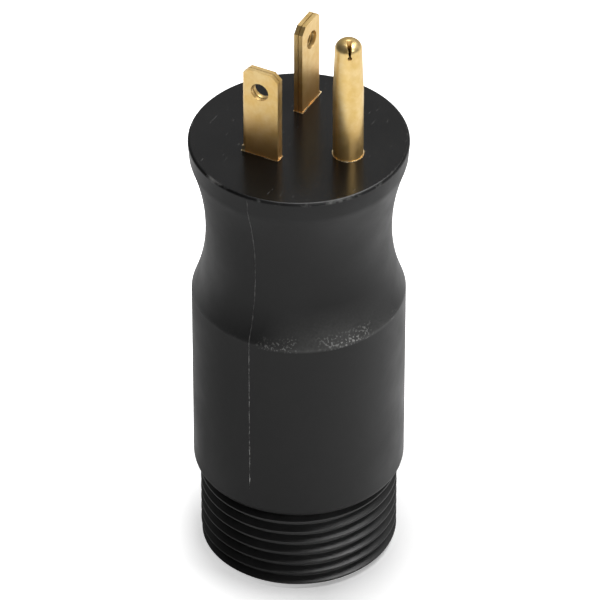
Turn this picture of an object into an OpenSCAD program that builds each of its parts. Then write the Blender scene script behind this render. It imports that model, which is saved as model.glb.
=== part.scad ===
// Adapter plug: two blades and an earth pin on a waisted moulded grip, with a
// threaded coupling end below that a cord's collar screws onto.
// Millimetres. The origin is on the axis at the lower rim, +Z runs up to the
// prongs, X runs along the line of the two blades, the earth pin is at -Y.

/* [Grip] */
// diameter of the flat face that carries the prongs
face_d = 35; // [33:0.5:40]
// wall of the barrel over the sleeve's flange
barrel_wall = 1.6; // [1.2:0.05:4]
// wall of the finger waist over the bridge, at its narrowest place
waist_wall = 1.4; // [1:0.05:2.4]
// height of the rim under the prong face
rim_h = 3.4; // [2:0.1:6]
// height from the waist's narrowest place up to the rim
waist_up = 13.8; // [11:0.1:18]
// height from the barrel's upper edge up to the waist's narrowest place
waist_low = 12; // [8:0.1:18]
// length of the straight barrel
barrel_len = 34.4; // [30:0.2:50]
// how much the rim's radius shrinks downwards, for the mould
rim_draft = 0.23; // [0:0.01:0.6]
// how much the barrel's radius shrinks downwards, for the mould
barrel_draft = 0.12; // [0:0.01:0.5]
// rounding of the prong face's edge
face_round = 0.5; // [0.2:0.1:1.2]
// rounding of the barrel's lower edge
barrel_round = 1.7; // [0.4:0.1:2]
// thickness of the outer body over the bridge
face_skin = 3.2; // [2:0.2:4.4]

/* [Thread] */
// outside diameter of the coupling thread
thread_d = 31.75; // [31:0.25:33]
// distance from one ridge to the next
thread_pitch = 2.117; // [1.5:0.001:2.4]
// length of the threaded end below the grip
thread_len = 15.3; // [12:0.1:20]
// height of the plain undercut next to the grip
relief_len = 0.3; // [0.2:0.1:2.5]
// turn of the ridges round the axis, from +X
thread_turn = 207.5; // [0:0.5:359.5]
// lead-in chamfer at the lower rim
lead_chamfer = 0.9; // [0.4:0.1:1.4]

/* [Sleeve] */
// wall of the sleeve inside the grip
spigot_wall = 1.6; // [1.2:0.05:1.8]
// length of the sleeve inside the grip
spigot_len = 9.7; // [8:0.1:14]
// how far the flange that anchors the sleeve stands out
flange_out = 1.1; // [0.6:0.05:1.6]
// thickness of the anchor flange
flange_t = 2.4; // [1.5:0.1:3.5]
// height of the flange above the grip's lower edge
flange_up = 3; // [2:0.1:4]
// distance from the contact circle out to the recess wall
contact_rim = 4.1; // [3.9:0.05:4.3]
// depth of the coupling recess
recess_depth = 8; // [5:0.5:10]
// thickness of the inner lip that stops the carrier
lip_t = 2; // [1.2:0.1:3]
// how far the inner lip stands in from the wall
lip_w = 1; // [0.6:0.1:1.2]
// width of the keyway in the recess wall
key_w = 3.2; // [2:0.2:4]
// depth of the keyway
key_deep = 0.8; // [0.4:0.1:1]
// width of the spline that keeps the carrier from turning
spline_w = 2.4; // [1.6:0.1:3]
// height of the spline
spline_h = 0.6; // [0.3:0.05:0.7]

/* [Contacts] */
// diameter of the circle that the three contacts stand on
contact_circle_d = 17.4; // [17:0.1:17.6]
// inside diameter of a contact, for the mating pin
contact_bore = 4; // [3.6:0.1:4.2]
// wall of a contact round its bore
contact_wall = 0.55; // [0.45:0.05:0.65]
// how far a contact's collar stands out from its barrel
collar_over = 0.6; // [0.4:0.05:0.65]
// thickness of the collar
collar_t = 2; // [1.5:0.1:2.5]
// depth of the bore
bore_len = 10; // [8:0.5:11]
// width of the slits between a contact's tines
slit_w = 0.6; // [0.4:0.1:0.8]
// length of the slits
slit_len = 7; // [5:0.5:8]
// thickness of the carrier in front of a contact
mouth_t = 1.2; // [0.8:0.1:1.6]
// how much wider than the bore the carrier's entry is
entry_over = 0.4; // [0.2:0.05:0.6]
// thickness of the retainer plate behind the carrier
retainer_t = 4; // [3:0.5:5]
// length of the solder cup past the retainer
cup_out = 7; // [5:0.5:9]
// depth of the solder cup
cup_deep = 6; // [4:0.5:6.5]
// wall of the solder cup
cup_wall = 0.6; // [0.4:0.05:0.8]

/* [Conductors] */
// diameter of the copper conductor
strand_d = 2.3; // [2:0.1:2.5]
// diameter over the insulation
jacket_d = 3.8; // [3.4:0.1:4.2]
// distance from the contact circle out to the filling's surface
filling_rim = 3.5; // [3.3:0.05:4]

/* [Prongs] */
// width of a blade
blade_w = 6.35; // [6:0.05:6.5]
// thickness of a blade, both leaves together
blade_t = 1.5; // [1.3:0.05:1.7]
// length of a blade above the face
blade_len = 16; // [15.9:0.1:18.2]
// gap between the two leaves of a blade
leaf_gap = 0.12; // [0.06:0.01:0.2]
// width of the corner taken off a blade's tip
tip_cut_w = 1.1; // [0.6:0.1:2]
// height of the corner taken off a blade's tip
tip_cut_h = 1.2; // [0.6:0.1:2.5]
// diameter of the hole near a blade's tip
hole_d = 3.1; // [2.6:0.1:3.6]
// height of that hole above the face
hole_up = 12.3; // [10:0.1:13]
// distance of the line blade from the earth pin's plane
line_off = 6.35; // [6.2:0.05:6.5]
// distance of the neutral blade from the earth pin's plane
neutral_off = 9.1; // [8.7:0.05:9.2]
// distance of the blades' line from the axis
blade_y = 3.2; // [3:0.05:3.4]
// distance from the blades' line to the earth pin
pin_drop = 11.9; // [11.7:0.05:12]
// diameter of the earth pin
pin_d = 4.83; // [4.7:0.01:4.95]
// length of the earth pin above the face
pin_len = 21.6; // [20:0.1:23]
// length of the earth pin's straight part above the face
pin_straight = 12.5; // [10:0.1:15]
// diameter of the earth pin where its rounded end begins
pin_tip_d = 4.25; // [3.8:0.05:4.6]
// rounding of the earth pin's end
pin_round = 1.4; // [0.8:0.1:1.8]
// how much smaller the earth pin's radius is where it is moulded in
pin_step = 0.2; // [0.1:0.05:0.3]
// wall of the earth pin, which is rolled from strip
pin_wall = 0.9; // [0.75:0.05:0.95]
// width of the slit in the earth pin's end, at its lower end
pin_slit = 0.22; // [0.15:0.01:0.4]
// width of that slit where it opens at the top
pin_slit_top = 0.75; // [0.3:0.05:1]
// length of that slit down from the earth pin's end
pin_slit_len = 1.9; // [1.6:0.1:6]
// diameter of the eye that the slit ends in
pin_eye = 0.7; // [0.5:0.05:0.9]
// turn of that slit round the pin, from +X
pin_slit_at = 213; // [0:1:359]
// how far the earth pin's anchor collar stands out
pin_collar = 0.7; // [0.4:0.1:1]
// diameter of the lock hole through a blade inside the bridge
lock_d = 2.6; // [2:0.1:3]
// cover of the bridge past the neutral blade's outer corner
bridge_cover = 0.5; // [0.3:0.05:1]
// height of the bridge
bridge_h = 10; // [8:0.5:11]
// width of a blade's tail below the bridge
tail_w = 4; // [3:0.1:4.4]
// length of a blade's tail below the bridge
tail_len = 4; // [3:0.5:6]
// length of the crimp barrel on a prong's tail
crimp_len = 7; // [5:0.5:9]
// wall of the crimp barrel
crimp_wall = 0.8; // [0.5:0.05:1]

/* [Fits] */
// gap left between pieces moulded or pressed together
fit_gap = 0.05; // [0.02:0.01:0.08]
// gap left at the ends of conductors
end_gap = 0.3; // [0.1:0.05:0.6]

/* [Hidden] */
// straight lines and arcs are true, so this only sets the preview
$fn = 96;
// a cut runs this far past the face that it opens
over = 1;

// heights up the axis
shoulder_z = thread_len + barrel_len;
waist_z = shoulder_z + waist_low;
rim_z = waist_z + waist_up;
face_z = rim_z + rim_h;
sleeve_top = thread_len + spigot_len;
lip_top = recess_depth + lip_t;
carrier_top = sleeve_top - retainer_t;
flange_z = thread_len + flange_up;
bridge_top = face_z - face_skin;
bridge_z = bridge_top - bridge_h;
foot_top = bridge_z - tail_len;
crimp_top = foot_top - blade_t;
crimp_z = crimp_top - crimp_len;
cup_top = sleeve_top + cup_out;
cup_floor = cup_top - cup_deep;
contact_z = recess_depth + mouth_t;
lock_z = bridge_z + bridge_h / 2;

// radii from the contact circle out to the barrel
contact_r = contact_circle_d / 2;
recess_r = contact_r + contact_rim;
spigot_r = recess_r + spigot_wall;
flange_r = spigot_r + flange_out;
barrel_r = flange_r + barrel_wall;
barrel_low_r = barrel_r - barrel_draft;
filling_r = contact_r + filling_rim;

// radii from the prongs out to the waist and the rim
bridge_r = norm([neutral_off + blade_w / 2, blade_y + blade_t / 2]) + bridge_cover;
waist_r = bridge_r + waist_wall;
face_r = face_d / 2;
rim_r = face_r - rim_draft;

// an arc that is upright at the waist and meets an edge out and along from it
function waist_arc(out, along) = (out * out + along * along) / (2 * out);
arc_up = waist_arc(rim_r - waist_r, waist_up);
arc_low = waist_arc(barrel_r - waist_r, waist_low);

// the thread: 60 degree flanks, a flat crest and a flat root
thread_r = thread_d / 2;
crest_w = thread_pitch / 8;
root_w = thread_pitch / 4;
thread_deep = (thread_pitch - crest_w - root_w) / 2 / tan(30);
root_r = thread_r - thread_deep;
thread_over = 0.12;
steps = 36;

// the conductors stand on the contact circle, and the earth one is at -Y
line_at = [contact_r * cos(150), contact_r * sin(150)];
neutral_at = [contact_r * cos(30), contact_r * sin(30)];
ground_at = [0, -contact_r];
spots = [line_at, neutral_at, ground_at];
pin_y = blade_y - pin_drop;
pin_r = pin_d / 2;
shank_r = pin_r - pin_step;
tip_r = pin_tip_d / 2;

// radii of the contacts and of what holds the copper
bore_r = contact_bore / 2;
contact_out = bore_r + contact_wall;
collar_r = contact_out + collar_over;
entry_r = bore_r + entry_over / 2;
strand_r = strand_d / 2;
grip_r = strand_r + fit_gap;
cup_r = grip_r + cup_wall;
crimp_r = grip_r + crimp_wall;
jacket_r = jacket_d / 2;

// which piece to draw

// a box between two corners, grown by g on every side
module grown_box(low, high, g = 0) {
  translate([low[0] - g, low[1] - g, low[2] - g])
    cube([high[0] - low[0] + 2 * g, high[1] - low[1] + 2 * g, high[2] - low[2] + 2 * g]);
}

// an upright cylinder between two heights
module post(r, z0, z1, at = [0, 0]) {
  translate([at[0], at[1], z0])
    cylinder(r = r, h = z1 - z0);
}

// the grip's outline, turned about the axis
module grip_outline() {
  difference() {
    union() {
      polygon([[0, thread_len], [barrel_low_r - barrel_round, thread_len],
        [barrel_low_r - barrel_round, thread_len + barrel_round],
        [barrel_low_r, thread_len + barrel_round], [barrel_r, shoulder_z],
        [rim_r, rim_z], [face_r, face_z - face_round],
        [face_r - face_round, face_z - face_round], [face_r - face_round, face_z],
        [0, face_z]]);
      translate([barrel_low_r - barrel_round, thread_len + barrel_round])
        circle(r = barrel_round);
      translate([face_r - face_round, face_z - face_round])
        circle(r = face_round);
    }
    intersection() {
      translate([waist_r + arc_up, waist_z])
        circle(r = arc_up);
      translate([0, waist_z])
        square([face_r * 2, waist_up]);
    }
    intersection() {
      translate([waist_r + arc_low, waist_z])
        circle(r = arc_low);
      translate([0, shoulder_z])
        square([face_r * 2, waist_low]);
    }
  }
}

// a helical V groove, right-handed, that leaves a 60 degree thread standing
function groove_at(a, r, dz) = [r * cos(a + thread_turn), r * sin(a + thread_turn),
  thread_pitch * (a / 360 - 1) + dz];
module thread_groove() {
  turns = (thread_len - relief_len) / thread_pitch + 1.5;
  count = ceil(turns * steps);
  in_h = root_w / 2;
  out_h = (thread_pitch - crest_w) / 2 + thread_over * tan(30);
  points = [for (i = [0 : count]) let (a = i * 360 / steps) each [
    groove_at(a, root_r, -in_h), groove_at(a, root_r, in_h),
    groove_at(a, thread_r + thread_over, out_h),
    groove_at(a, thread_r + thread_over, -out_h)]];
  sides = [for (i = [0 : count - 1]) for (k = [0 : 3])
    let (a = 4 * i + k, b = 4 * i + (k + 1) % 4) each [[a, b + 4, b], [a, a + 4, b + 4]]];
  last = 4 * count;
  ends = [[0, 1, 2], [0, 2, 3],
    [last, last + 2, last + 1], [last, last + 3, last + 2]];
  polyhedron(points = points, faces = concat(sides, ends));
}

// over-moulded grip, with pockets for all that it was moulded round
module outer_body() {
  color([0.17, 0.17, 0.17])
    difference() {
      rotate_extrude()
        grip_outline();
      post(spigot_r + fit_gap, thread_len - over, sleeve_top + fit_gap);
      post(flange_r + fit_gap, flange_z - fit_gap, flange_z + flange_t + fit_gap);
      post(filling_r + fit_gap, sleeve_top, bridge_z);
      post(bridge_r + fit_gap, bridge_z - fit_gap, bridge_top + fit_gap);
      line_plate(bridge_top, face_z + over, fit_gap);
      neutral_plate(bridge_top, face_z + over, fit_gap);
      post(shank_r + fit_gap, bridge_top, face_z + over, [0, pin_y]);
    }
}

// coupling end: thread outside, recess with a keyway inside, anchor flange above
module threaded_sleeve() {
  color([0.08, 0.08, 0.08])
    difference() {
      union() {
        difference() {
          union() {
            translate([0, 0, 0])
              cylinder(r1 = thread_r - lead_chamfer, r2 = thread_r, h = lead_chamfer);
            post(thread_r, lead_chamfer, thread_len - relief_len);
          }
          thread_groove();
        }
        post(root_r - fit_gap * 2, lead_chamfer, thread_len);
        post(spigot_r, thread_len, sleeve_top);
        post(flange_r, flange_z, flange_z + flange_t);
      }
      post(recess_r, -over, recess_depth);
      post(recess_r - lip_w, recess_depth - over, lip_top + over);
      sleeve_bore();
      grown_box([-key_w / 2, -recess_r - key_deep, -over], [key_w / 2, 0, recess_depth]);
    }
}

// the sleeve's upper bore, less the spline that stands in it
module sleeve_bore() {
  difference() {
    post(recess_r, lip_top, sleeve_top + over);
    spline(0);
  }
}

module spline(g) {
  grown_box([-spline_w / 2, recess_r - spline_h, lip_top - over],
    [spline_w / 2, recess_r + over, sleeve_top + over], g);
}

// insulating block with a closed entry for each contact
module contact_carrier() {
  color([0.35, 0.35, 0.33])
    difference() {
      union() {
        post(recess_r - lip_w - fit_gap, recess_depth, lip_top + fit_gap);
        post(recess_r - fit_gap, lip_top + fit_gap, carrier_top);
      }
      for (at = spots) {
        post(entry_r, recess_depth - over, contact_z + over, at);
        post(contact_out + fit_gap, contact_z - fit_gap, carrier_top + over, at);
        post(collar_r + fit_gap, carrier_top - collar_t - fit_gap, carrier_top + over, at);
      }
      spline(fit_gap);
    }
}

// plate that traps the contacts' collars
module contact_retainer() {
  color([0.45, 0.42, 0.36])
    difference() {
      post(recess_r - fit_gap, carrier_top + fit_gap, sleeve_top);
      for (at = spots)
        post(cup_r + fit_gap, carrier_top - over, sleeve_top + over, at);
      spline(fit_gap);
    }
}

// slit socket, collar and solder cup, turned from one bar
module contact(at, turn) {
  translate([at[0], at[1], 0])
    difference() {
      union() {
        post(contact_out, contact_z, carrier_top - collar_t);
        post(collar_r, carrier_top - collar_t, carrier_top);
        post(cup_r, carrier_top, cup_top);
      }
      post(bore_r, contact_z - over, contact_z + bore_len);
      post(grip_r, cup_floor, cup_top + over);
      rotate([0, 0, turn])
        grown_box([-contact_out - over, -slit_w / 2, contact_z - over],
          [contact_out + over, slit_w / 2, contact_z + slit_len]);
    }
}

module line_contact() {
  color([0.85, 0.70, 0.40])
    contact(line_at, 150);
}

module neutral_contact() {
  color([0.85, 0.70, 0.40])
    contact(neutral_at, 30);
}

module ground_contact() {
  color([0.85, 0.70, 0.40])
    contact(ground_at, -90);
}

// copper from the solder cup up to the crimp
module core(at) {
  color([0.80, 0.45, 0.28])
    post(strand_r, cup_floor + end_gap, crimp_top - end_gap, at);
}

module line_core() {
  core(line_at);
}

module neutral_core() {
  core(neutral_at);
}

module ground_core() {
  core(ground_at);
}

// insulation between the solder cup and the crimp
module jacket(at, tint) {
  color(tint)
    difference() {
      post(jacket_r, cup_top + end_gap, crimp_z - end_gap, at);
      post(strand_r + fit_gap, cup_top, crimp_z, at);
    }
}

module line_jacket() {
  jacket(line_at, [0.10, 0.10, 0.10]);
}

module neutral_jacket() {
  jacket(neutral_at, [0.90, 0.90, 0.88]);
}

module ground_jacket() {
  jacket(ground_at, [0.15, 0.45, 0.20]);
}

// the flat stock of a blade between two heights, in its place
module line_plate(z0, z1, g) {
  grown_box([-line_off - blade_t / 2, blade_y - blade_w / 2, z0],
    [-line_off + blade_t / 2, blade_y + blade_w / 2, z1], g);
}

module neutral_plate(z0, z1, g) {
  grown_box([neutral_off - blade_w / 2, blade_y - blade_t / 2, z0],
    [neutral_off + blade_w / 2, blade_y + blade_t / 2, z1], g);
}

// the tail that joins a blade to the crimp barrel below it
module line_tail(g) {
  grown_box([-line_off - blade_t / 2, line_at[1] - tail_w / 2, crimp_top],
    [-line_off + blade_t / 2, line_at[1] + tail_w / 2, bridge_z], g);
  grown_box([min(-line_off - blade_t / 2, line_at[0] - crimp_r), line_at[1] - crimp_r, crimp_top],
    [max(-line_off + blade_t / 2, line_at[0] + crimp_r), line_at[1] + crimp_r, foot_top], g);
}

module neutral_tail(g) {
  grown_box([neutral_at[0] - tail_w / 2, blade_y - blade_t / 2, crimp_top],
    [neutral_at[0] + tail_w / 2, blade_y + blade_t / 2, bridge_z], g);
  grown_box([neutral_at[0] - crimp_r, min(blade_y - blade_t / 2, neutral_at[1] - crimp_r), crimp_top],
    [neutral_at[0] + crimp_r, max(blade_y + blade_t / 2, neutral_at[1] + crimp_r), foot_top], g);
}

// a blade standing on its middle, width along X, folded at +X
module folded_blade() {
  rise = face_z + blade_len - bridge_z;
  half = blade_w / 2;
  difference() {
    intersection() {
      translate([0, blade_t / 2, 0])
        rotate([90, 0, 0])
          linear_extrude(blade_t)
            polygon([[-half, 0], [half, 0], [half, rise - tip_cut_h], [half - tip_cut_w, rise],
              [tip_cut_w - half, rise], [-half, rise - tip_cut_h]]);
      union() {
        grown_box([-half, -blade_t / 2, 0], [half - blade_t / 2, blade_t / 2, rise]);
        post(blade_t / 2, 0, rise, [half - blade_t / 2, 0]);
      }
    }
    grown_box([-half - over, -leaf_gap / 2, -over],
      [half - blade_t / 2, leaf_gap / 2, rise + over]);
    translate([0, 0, face_z + hole_up - bridge_z])
      rotate([90, 0, 0])
        cylinder(d = hole_d, h = blade_t + 2 * over, center = true);
    translate([0, 0, lock_z - bridge_z])
      rotate([90, 0, 0])
        cylinder(d = lock_d, h = blade_t + 2 * over, center = true);
  }
}

// barrel below a prong's foot, open downwards
module crimp(at) {
  difference() {
    post(crimp_r, crimp_z, crimp_top, at);
    post(grip_r, crimp_z - over, crimp_top - end_gap / 2, at);
  }
}

module line_blade() {
  color([0.85, 0.72, 0.42])
    union() {
      translate([-line_off, blade_y, bridge_z])
        rotate([0, 0, 90])
          folded_blade();
      line_tail(0);
      crimp(line_at);
    }
}

module neutral_blade() {
  color([0.85, 0.72, 0.42])
    union() {
      translate([neutral_off, blade_y, bridge_z])
        folded_blade();
      neutral_tail(0);
      crimp(neutral_at);
    }
}

// the earth pin's rounded end, turned about its axis
module pin_nose() {
  rotate_extrude()
    intersection() {
      union() {
        square([tip_r - pin_round, pin_round]);
        translate([tip_r - pin_round, 0])
          circle(r = pin_round);
      }
      square([tip_r, pin_round]);
    }
}

// the seam at the earth pin's end: a slit that opens upwards, and its eye
module pin_seam() {
  rotate([90, 0, 90])
    linear_extrude(pin_r + over)
      polygon([[-pin_slit / 2, 0], [pin_slit / 2, 0],
        [pin_slit_top / 2, pin_slit_len], [pin_slit_top / 2, pin_slit_len + over],
        [-pin_slit_top / 2, pin_slit_len + over], [-pin_slit_top / 2, pin_slit_len]]);
  rotate([0, 90, 0])
    cylinder(d = pin_eye, h = pin_r + over);
}

// rolled earth pin with a slit round end, an anchor collar and a crimp end
module ground_pin() {
  top_z = face_z + pin_len;
  nose_z = top_z - pin_round;
  taper_z = face_z + pin_straight;
  color([0.85, 0.72, 0.42])
    translate([0, pin_y, 0])
      difference() {
        union() {
          post(shank_r, crimp_z, face_z);
          post(pin_r, face_z, taper_z);
          translate([0, 0, taper_z])
            cylinder(r1 = pin_r, r2 = tip_r, h = nose_z - taper_z);
          translate([0, 0, nose_z])
            pin_nose();
          post(pin_r + pin_collar, lock_z - 1, lock_z + 1);
        }
        post(grip_r, crimp_z - over, crimp_top, [0, ground_at[1] - pin_y]);
        post(pin_r - pin_wall, crimp_top - over / 2, taper_z);
        translate([0, 0, taper_z])
          cylinder(r1 = pin_r - pin_wall, r2 = tip_r - pin_wall, h = nose_z - taper_z);
        translate([0, 0, top_z - pin_slit_len])
          rotate([0, 0, pin_slit_at])
            pin_seam();
      }
}

// stiff block moulded round the prongs, with a peg through each lock hole
module bridge() {
  peg_r = lock_d / 2 - fit_gap;
  color([0.30, 0.30, 0.32])
    union() {
      difference() {
        post(bridge_r, bridge_z, bridge_top);
        line_plate(bridge_z - over, bridge_top + over, fit_gap);
        neutral_plate(bridge_z - over, bridge_top + over, fit_gap);
        post(shank_r + fit_gap, bridge_z - over, bridge_top + over, [0, pin_y]);
        post(pin_r + pin_collar + fit_gap, lock_z - 1 - fit_gap, lock_z + 1 + fit_gap, [0, pin_y]);
      }
      translate([-line_off, blade_y, lock_z])
        rotate([0, 90, 0])
          cylinder(r = peg_r, h = blade_t + over, center = true);
      translate([neutral_off, blade_y, lock_z])
        rotate([90, 0, 0])
          cylinder(r = peg_r, h = blade_t + over, center = true);
    }
}

// first-shot filling between the retainer and the bridge
module inner_mould() {
  color([0.55, 0.55, 0.52])
    difference() {
      post(filling_r, sleeve_top + fit_gap, bridge_z - fit_gap);
      for (at = spots) {
        post(cup_r + fit_gap, sleeve_top - over, cup_top + fit_gap, at);
        post(jacket_r + fit_gap, cup_top, crimp_z, at);
      }
      post(crimp_r + fit_gap, crimp_z - fit_gap, crimp_top, line_at);
      post(crimp_r + fit_gap, crimp_z - fit_gap, crimp_top, neutral_at);
      post(shank_r + fit_gap, crimp_z - fit_gap, bridge_z + over, [0, pin_y]);
      line_tail(fit_gap);
      neutral_tail(fit_gap);
    }
}

outer_body();
threaded_sleeve();
contact_carrier();
contact_retainer();
bridge();
inner_mould();
line_blade();
neutral_blade();
ground_pin();
line_contact();
neutral_contact();
ground_contact();
line_core();
neutral_core();
ground_core();
line_jacket();
neutral_jacket();
ground_jacket();
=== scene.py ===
# %% [markdown]
# # A moulded adapter plug
# Two folded blades and a round earth pin stand on a waisted black grip, and a
# threaded collar end is below it. The measured solids come in as a fixed
# frame. Each visible solid is then modelled again with softened edges, true
# curves and the small marks of moulding, in the same place and at the same
# size, and the solids inside it keep their shape and get a finish.

import math

import bpy
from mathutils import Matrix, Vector


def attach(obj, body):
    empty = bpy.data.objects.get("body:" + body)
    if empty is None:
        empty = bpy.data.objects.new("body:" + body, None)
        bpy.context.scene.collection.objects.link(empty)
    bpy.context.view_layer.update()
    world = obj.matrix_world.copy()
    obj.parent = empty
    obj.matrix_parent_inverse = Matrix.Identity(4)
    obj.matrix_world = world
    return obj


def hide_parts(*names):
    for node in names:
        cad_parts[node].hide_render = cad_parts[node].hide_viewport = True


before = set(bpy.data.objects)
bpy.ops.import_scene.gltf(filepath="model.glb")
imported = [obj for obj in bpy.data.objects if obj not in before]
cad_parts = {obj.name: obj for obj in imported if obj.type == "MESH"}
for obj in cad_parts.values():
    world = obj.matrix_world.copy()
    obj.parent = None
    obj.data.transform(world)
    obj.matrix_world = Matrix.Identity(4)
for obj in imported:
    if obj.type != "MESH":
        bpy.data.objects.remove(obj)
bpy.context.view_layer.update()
scene = bpy.context.scene
scene.view_settings.view_transform = "Standard"

# %% [markdown]
# ## Camera
# The plug is seen from above and from its parting-line side, through a long
# lens, so upright lines stay upright. A camera could be aimed with a
# constraint, but two angles and a distance say the same thing in plain
# numbers, and the lights can use the same angles.

# %% Camera
view_turn = math.radians(-62.5)
view_rise = math.radians(37.717)
aim = Vector((0, 0, 0.04665))
reach = 1.276
toward = Vector((math.sin(view_turn) * math.cos(view_rise),
                 -math.cos(view_turn) * math.cos(view_rise),
                 math.sin(view_rise)))

bpy.ops.object.select_all(action="DESELECT")
bpy.ops.object.camera_add(location=aim + toward * reach,
                          rotation=(math.pi / 2 - view_rise, 0, view_turn))
camera = bpy.context.object
camera.data.sensor_width = 36
camera.data.lens = 480
camera.data.shift_x = 0.002
camera.data.clip_start = 0.01
camera.data.clip_end = 30
scene.camera = camera
print("camera", round(reach, 3), "m away, lens", camera.data.lens, "mm")

# %% [markdown]
# ## Shader tools
# The room, the paper and every finish are webs of shader nodes. They could be
# wired by hand in the node editor, but a few short helpers say in one line
# what feeds what. Most of them return a socket, so that one can feed the next.
# Places on the object come from its own coordinates, which need no unwrapping.

# %% Shader tools: nodes and values
def place(tree, kind, feeds=None, **options):
    """Adds a shader node; a feed is a number, a colour or another node's socket."""
    made = tree.nodes.new(kind)
    for key, value in options.items():
        setattr(made, key, value)
    for key, value in (feeds or {}).items():
        if isinstance(value, bpy.types.NodeSocket):
            tree.links.new(value, made.inputs[key])
        else:
            made.inputs[key].default_value = value
    return made


def math_node(tree, how, first, *others):
    """One value from several, such as their product or the largest of them."""
    for other in others:
        first = place(tree, "ShaderNodeMath", {0: first, 1: other}, operation=how).outputs["Value"]
    return first


def band(tree, value, low, high, start=0.0, end=1.0):
    """Maps a value from one range onto another, held at both ends."""
    return place(tree, "ShaderNodeMapRange", {"Value": value, "From Min": low, "From Max": high,
                 "To Min": start, "To Max": end}).outputs["Result"]


def blend_colour(tree, amount, dark, light):
    """A colour between two, by an amount from 0 to 1."""
    made = place(tree, "ShaderNodeMix", {"Factor": amount}, data_type="RGBA")
    for socket, value in ((made.inputs[6], dark), (made.inputs[7], light)):
        if isinstance(value, bpy.types.NodeSocket):
            tree.links.new(value, socket)
        else:
            socket.default_value = (*value, 1)
    return made.outputs[2]


print("shader tools for nodes and values")

# %% Shader tools: places and surfaces
def here(tree):
    """The point that is being shaded, in metres on the object."""
    return place(tree, "ShaderNodeTexCoord").outputs["Object"]


def height_of(tree, where):
    """How high a point lies."""
    return place(tree, "ShaderNodeSeparateXYZ", {"Vector": where}).outputs["Z"]


def along(tree, where, way):
    """How far a point lies in a direction."""
    return place(tree, "ShaderNodeVectorMath", {0: where, 1: way},
                 operation="DOT_PRODUCT").outputs["Value"]


def reach_of(tree, where):
    """How far a point lies from the origin."""
    return place(tree, "ShaderNodeVectorMath", {0: where}, operation="LENGTH").outputs["Value"]


def noise(tree, where, scale, detail=3.0, rough=0.5):
    """A cloudy value about 0.5; a larger scale makes smaller clouds."""
    return place(tree, "ShaderNodeTexNoise", {"Vector": where, "Scale": scale,
                 "Detail": detail, "Roughness": rough}).outputs["Fac"]


def bump(tree, height, strength, depth, feeds=None):
    """Normals that are tilted as if the surface rose and fell."""
    return place(tree, "ShaderNodeBump", {"Height": height, "Strength": strength,
                 "Distance": depth, **(feeds or {})}).outputs["Normal"]


def finish(name):
    """A new material, its web of nodes and its surface shader."""
    made = bpy.data.materials.new(name)
    made.use_nodes = True
    return made, made.node_tree, made.node_tree.nodes["Principled BSDF"]


print("shader tools for places and surfaces")

# %% [markdown]
# ## Lamps and room
# Small black and brass goods are shot on white paper under big soft lamps.
# The black grip shows mostly what it mirrors, so the places of the lamps
# matter more than their strength: one overhead and behind, one wide panel on
# the right, one high on the right for the flanks of the thread, and one in
# front on the right, about as high as the camera, which the pin throws onto
# the face as a golden streak. A room that is dim in front and on the left
# keeps that side of the grip dark. The places are given to the right of,
# behind and above the plug, as the camera sees it.

# %% Lamps
lamp_aim = Vector((0, 0, 0.05))


def studio(right, back, up):
    """A point to the right of, behind and above the plug, as the camera sees it."""
    across = Vector((math.cos(view_turn), math.sin(view_turn), 0))
    away = Vector((-math.sin(view_turn), math.cos(view_turn), 0))
    return across * right + away * back + Vector((0, 0, up))


def lamp(name, stand, size, watts):
    """A soft rectangular lamp that is turned towards the plug."""
    bpy.ops.object.light_add(type="AREA", location=stand)
    made = bpy.context.object
    made.name = name
    made.data.shape = "RECTANGLE"
    made.data.size, made.data.size_y = size
    made.data.energy = watts
    made.rotation_euler = (lamp_aim - stand).to_track_quat("-Z", "Y").to_euler()
    print(name, [round(c, 2) for c in stand], watts, "W")


lamp("overhead_panel", studio(0.20, 0.34, 1.02), (0.6, 0.6), 4.6)
lamp("right_panel", studio(0.95, 0.20, 0.40), (0.5, 0.7), 0.40)
lamp("thread_panel", studio(0.40, -0.08, 1.02), (0.4, 0.4), 4.6)
lamp("front_panel", studio(0.48, -0.82, 0.70), (0.7, 0.3), 3.6)

# %% Room
room = bpy.data.worlds.new("pale_room")
room.use_nodes = True
scene.world = room
web = room.node_tree
backdrop = web.nodes["Background"]
way = place(web, "ShaderNodeTexCoord").outputs["Generated"]
frontness = along(web, way, studio(-0.3, -0.95, 0))
shade = band(web, frontness, -0.75, -0.1, 0.27, 0.05)
ray = place(web, "ShaderNodeLightPath").outputs
seen = place(web, "ShaderNodeMix", {"Factor": ray["Is Camera Ray"], "A": shade, "B": 1.0},
             data_type="FLOAT")
web.links.new(seen.outputs["Result"], backdrop.inputs["Strength"])
backdrop.inputs["Color"].default_value = (1, 1, 1, 1)
print("room: dim in front and on the left, pale behind")

# %% [markdown]
# ## Paper floor
# In the photo the paper is burnt out to plain white, with a soft shadow close
# to the plug. Stronger lamps could do that, but they would burn out the brass
# as well, so the paper glows a little by itself, though it is no lamp. For the
# camera the glow grows outwards from the thread, so the contact shadow is a
# painted shadow, lighter on the left and lifted by painted light right under
# the rim. For what mirrors it the paper carries a painted reflection, brighter
# close by on the right and further off elsewhere, and painted shade, dimmer at
# the plug's foot and on the left, where a photographer would use white and
# black cards.

# %% Paper floor: the sheet
bpy.ops.object.select_all(action="DESELECT")
bpy.ops.mesh.primitive_plane_add(size=6, location=(0, 0, -0.00002))
floor = bpy.context.object
floor.name = "paper_floor"
paper, web, sheet = finish("white_paper")
spot = here(web)
tone = band(web, noise(web, spot, 900.0), 0.0, 1.0, 0.90, 0.93)
sheet.inputs["Roughness"].default_value = 0.9
sheet.inputs["Specular IOR Level"].default_value = 0.1
sheet.inputs["Emission Color"].default_value = (1, 1, 1, 1)
floor.data.materials.append(paper)

# %% Paper floor: what the camera sees
ray = place(web, "ShaderNodeLightPath").outputs
rightward = along(web, spot, studio(1, 0, 0))
backward = along(web, spot, studio(0, 1, 0))
distance = reach_of(web, spot)
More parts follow.
